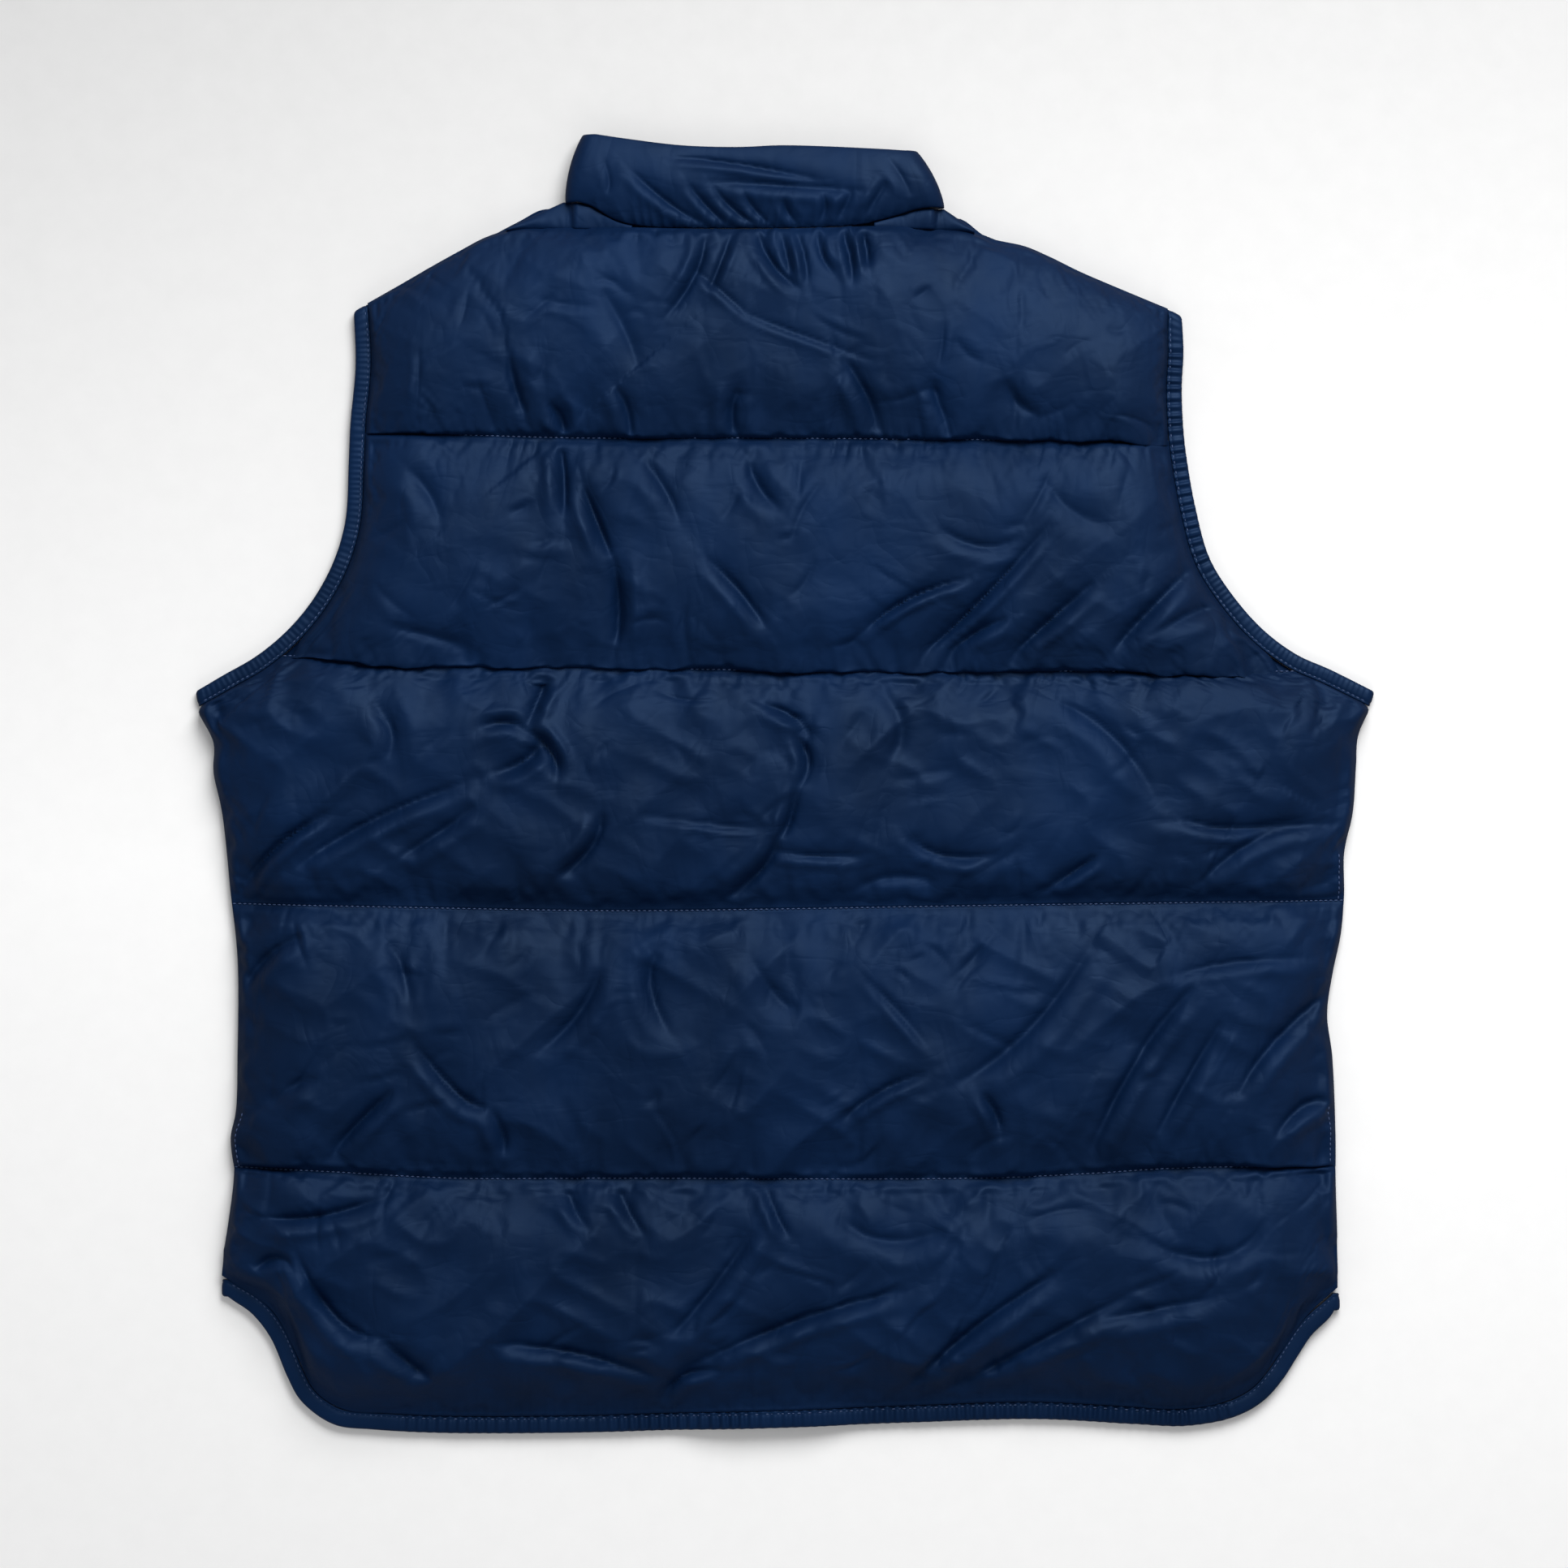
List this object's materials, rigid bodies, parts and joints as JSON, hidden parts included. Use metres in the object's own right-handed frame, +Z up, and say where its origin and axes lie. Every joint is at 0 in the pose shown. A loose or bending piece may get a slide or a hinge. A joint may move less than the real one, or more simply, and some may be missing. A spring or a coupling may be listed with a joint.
{
  "type": "quilted vest",
  "caption": "Sleeveless padded vest with a stand collar and shirt-tail hem, quilted across in wide channels, laid flat on its front.",
  "frame": {"origin": "on the surface under the vest, at the middle of its outline", "axes": "+X across the back to the right as seen from above, +Y from the hem to the collar, +Z up from the surface"},
  "size_m": [0.6885, 0.7599, 0.0349],
  "materials": {
    "shell_cloth": "satin woven nylon, dark navy",
    "binding_cloth": "satin woven nylon strip, dark navy",
    "stud_metal": "dark satin press studs"
  },
  "bodies": {
    "root": {"back_panel": "shell_cloth", "left_front": "shell_cloth", "right_front": "shell_cloth", "collar": "shell_cloth", "armhole_binding_left": "binding_cloth", "armhole_binding_right": "binding_cloth", "hem_binding": "binding_cloth", "stud_cap_1": "stud_metal", "stud_socket_1": "stud_metal", "stud_cap_2": "stud_metal", "stud_socket_2": "stud_metal", "stud_cap_3": "stud_metal", "stud_socket_3": "stud_metal", "stud_cap_4": "stud_metal", "stud_socket_4": "stud_metal", "stud_cap_5": "stud_metal", "stud_socket_5": "stud_metal", "stud_cap_6": "stud_metal", "stud_socket_6": "stud_metal"}
  },
  "joints": []
}
